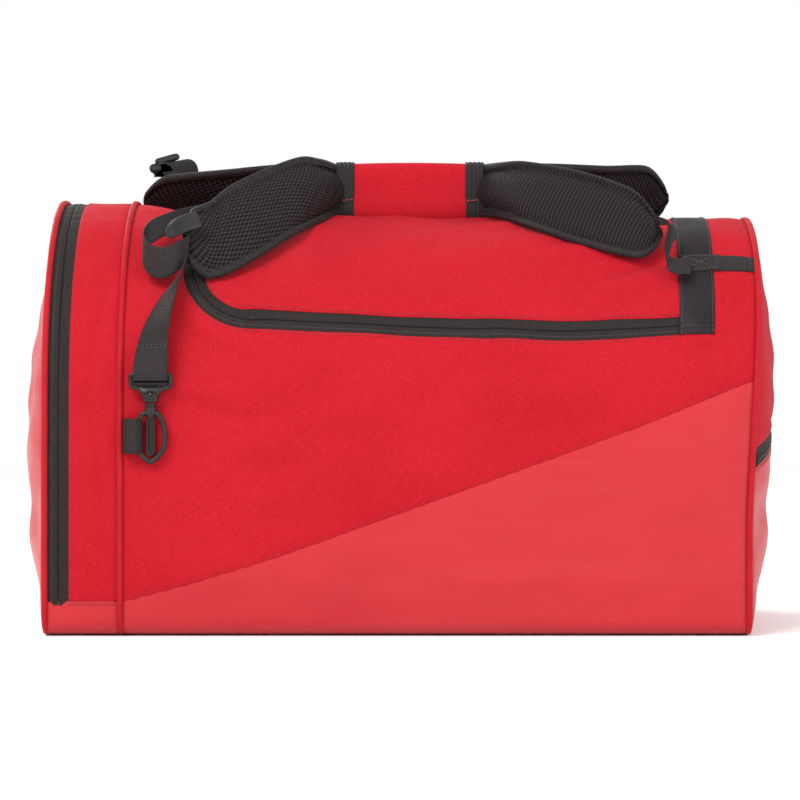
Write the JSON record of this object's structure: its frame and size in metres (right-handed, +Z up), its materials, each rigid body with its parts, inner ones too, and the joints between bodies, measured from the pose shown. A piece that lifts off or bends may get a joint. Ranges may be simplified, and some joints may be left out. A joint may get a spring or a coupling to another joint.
{
  "type": "hockey equipment bag",
  "caption": "Soft duffel for ice hockey kit: hinged top lid with a U zip, shoe end flap, end pocket, padded carry handles joined by a wrap, and swivel snap hooks.",
  "frame": {"origin": "on the floor under the middle of the whole bag's bounding box", "axes": "+X along the bag's length towards the end with the pocket, +Y from front to back, +Z up"},
  "size_m": [0.6726, 0.366, 0.4222],
  "materials": {
    "woven_red": "woven polyester",
    "coated_red": "coated fabric, soft sheen",
    "piping_red": "coated piping",
    "zip_tape": "woven coil tape",
    "strip_black": "heavy woven",
    "webbing": "ribbed webbing",
    "air_mesh": "padded air mesh",
    "moulded_black": "moulded",
    "zip_metal": "satin black",
    "board": "sheet"
  },
  "bodies": {
    "bag": {"back_anchor_webbing": "webbing", "back_hook_dee": "moulded_black", "back_hook_tab": "webbing", "back_lower_panel": "coated_red", "back_tail_webbing": "webbing", "back_upper_panel": "woven_red", "base_board": "board", "bottom_panel": "coated_red", "end_panel_foot": "coated_red", "end_piping_foot": "piping_red", "end_zip_body_tape": "zip_tape", "front_anchor_webbing": "webbing", "front_hook_dee": "moulded_black", "front_hook_tab": "webbing", "front_lower_panel": "coated_red", "front_tail_webbing": "webbing", "front_upper_panel": "woven_red", "left_top_panel": "woven_red", "main_zip_body_tape": "zip_tape", "main_zip_end_tape": "zip_tape", "pocket_inner_wall": "woven_red", "pocket_zip_lower_tape": "zip_tape", "pocket_zip_upper_tape": "zip_tape", "reinforcement_strip": "strip_black", "right_end_lower_panel": "coated_red", "right_end_upper_panel": "woven_red", "right_seam_piping": "piping_red", "right_top_panel": "woven_red", "shoe_divider": "woven_red", "shoe_gusset": "woven_red", "shoe_gusset_band": "coated_red", "shoe_seam_piping": "piping_red"},
    "lid": {"lid_panel": "woven_red", "main_zip_lid_tape": "zip_tape", "front_webbing_curl": "webbing", "back_webbing_curl": "webbing"},
    "handle": {"front_pad": "air_mesh", "back_pad": "air_mesh", "hand_wrap": "woven_red", "left_wrap_binding": "webbing", "right_wrap_binding": "webbing", "front_ladder_lock": "moulded_black", "back_ladder_lock": "moulded_black", "front_lock_webbing": "webbing", "back_lock_webbing": "webbing", "front_loose_webbing": "webbing"},
    "flap": {"end_panel": "coated_red", "end_piping": "piping_red", "end_zip_flap_tape": "zip_tape"},
    "main_slider": {"main_zip_slider": "zip_metal"},
    "main_pull": {"main_zip_pull": "zip_metal"},
    "end_slider": {"end_zip_slider": "zip_metal"},
    "end_pull": {"end_zip_pull": "zip_metal"},
    "pocket_slider": {"pocket_zip_slider": "zip_metal"},
    "pocket_pull": {"pocket_zip_pull": "zip_metal"},
    "front_hook": {"front_hook": "moulded_black"},
    "front_gate": {"front_hook_gate": "moulded_black"},
    "back_hook": {"back_hook": "moulded_black"},
    "back_gate": {"back_hook_gate": "moulded_black"}
  },
  "joints": [
    {"name": "lid_open", "type": "hinge", "parent": "bag", "child": "lid", "pos_m": [0.2342, 0, 0.3643], "axis": [0, 1, 0], "range_deg": [0, 90]},
    {"name": "handle_lift", "type": "hinge", "parent": "lid", "child": "handle", "pos_m": [0.2252, 0, 0.352], "axis": [0, 1, 0], "range_deg": [0, 7]},
    {"name": "flap_open", "type": "hinge", "parent": "bag", "child": "flap", "pos_m": [-0.3262, 0, 0.03], "axis": [0, -1, 0], "range_deg": [0, 80]},
    {"name": "main_slider_slide", "type": "slide", "parent": "bag", "child": "main_slider", "axis": [-1, 0, 0], "range_m": [0, 0.335]},
    {"name": "main_pull_swing", "type": "hinge", "parent": "main_slider", "child": "main_pull", "pos_m": [0.2262, 0.15575, 0.265], "axis": [0, 0.3886, -0.9214], "range_deg": [0, 150]},
    {"name": "end_slider_slide", "type": "slide", "parent": "bag", "child": "end_slider", "axis": [0, 0, 1], "range_m": [0, 0.145]},
    {"name": "end_pull_swing", "type": "hinge", "parent": "end_slider", "child": "end_pull", "pos_m": [-0.2943, 0.1689, 0.041], "axis": [1, 0, 0], "range_deg": [0, 150]},
    {"name": "pocket_slider_slide", "type": "slide", "parent": "bag", "child": "pocket_slider", "axis": [0, -1, 0], "range_m": [0, 0.13]},
    {"name": "pocket_pull_swing", "type": "hinge", "parent": "pocket_slider", "child": "pocket_pull", "pos_m": [0.3336, 0.066, 0.187], "axis": [0, 0, 1], "range_deg": [0, 150]},
    {"name": "front_hook_swivel", "type": "hinge", "parent": "bag", "child": "front_hook", "pos_m": [-0.2148, -0.176, 0.2], "axis": [0, 0, 1], "range_deg": [-10, 10]},
    {"name": "front_gate_press", "type": "hinge", "parent": "front_hook", "child": "front_gate", "pos_m": [-0.2144, -0.176, 0.1855], "axis": [0, 1, 0], "range_deg": [0, 6], "stiffness_Nm_per_rad": 0.05},
    {"name": "back_hook_swivel", "type": "hinge", "parent": "bag", "child": "back_hook", "pos_m": [-0.2148, 0.176, 0.2], "axis": [0, 0, 1], "range_deg": [-10, 10]},
    {"name": "back_gate_press", "type": "hinge", "parent": "back_hook", "child": "back_gate", "pos_m": [-0.2144, 0.176, 0.1855], "axis": [0, 1, 0], "range_deg": [0, 6], "stiffness_Nm_per_rad": 0.05}
  ]
}
